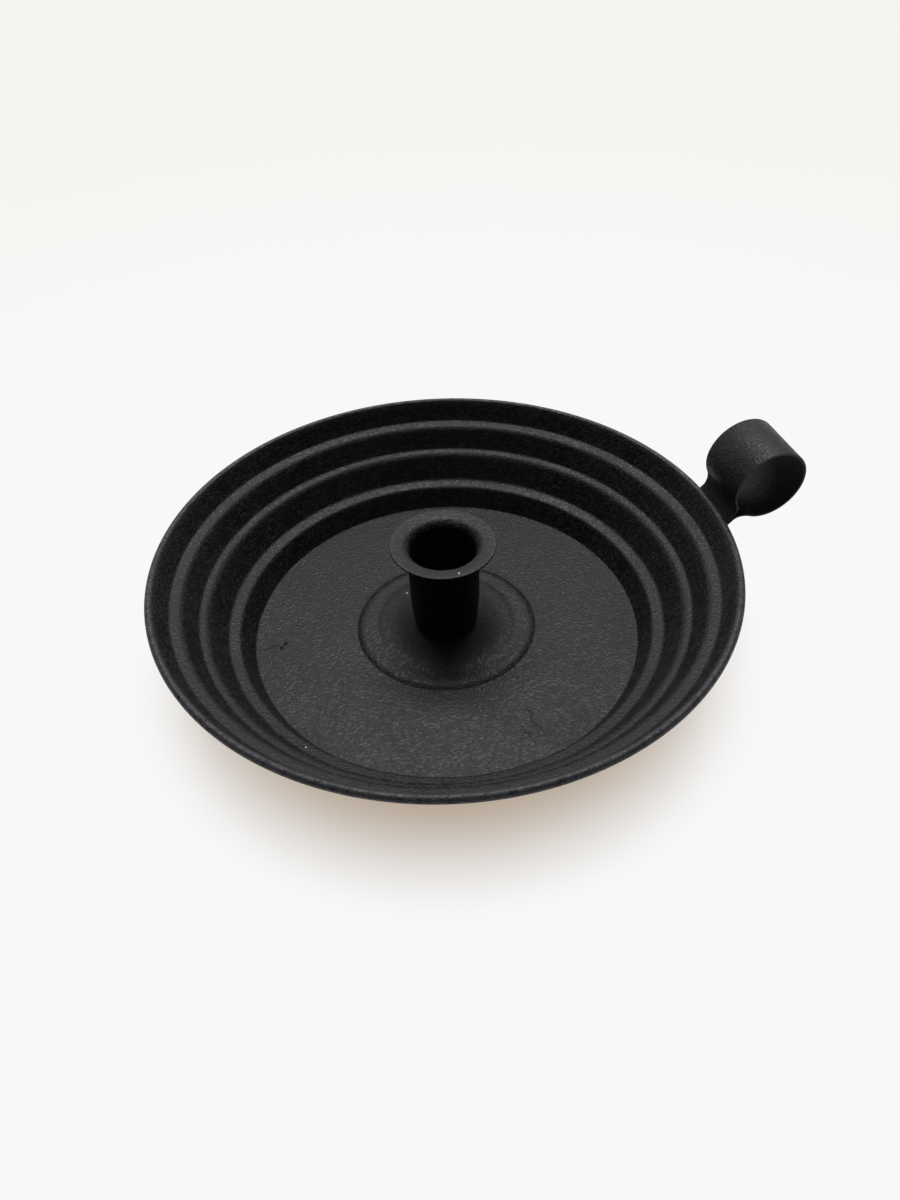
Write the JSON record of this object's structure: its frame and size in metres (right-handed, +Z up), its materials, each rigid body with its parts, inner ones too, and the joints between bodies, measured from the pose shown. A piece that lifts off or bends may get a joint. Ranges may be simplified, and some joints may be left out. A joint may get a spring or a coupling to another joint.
{
  "type": "chamberstick",
  "caption": "Low round stepped dish with a rolled rim, a flared candle socket riveted to its middle and a ring-shaped finger loop at the rim, for carrying a lit candle.",
  "frame": {"origin": "middle of the dish's underside, on the plane of the surface that it stands on", "axes": "+Z up along the candle's axis, +X from the candle towards the finger loop, +Y across the loop's strip"},
  "size_m": [0.221, 0.195, 0.0586],
  "materials": {
    "black_coat": "matt, finely textured baked coat on sheet steel"
  },
  "bodies": {
    "root": {"dish": "black_coat", "candle_socket": "black_coat", "socket_rivet": "black_coat", "finger_loop": "black_coat"}
  },
  "joints": []
}
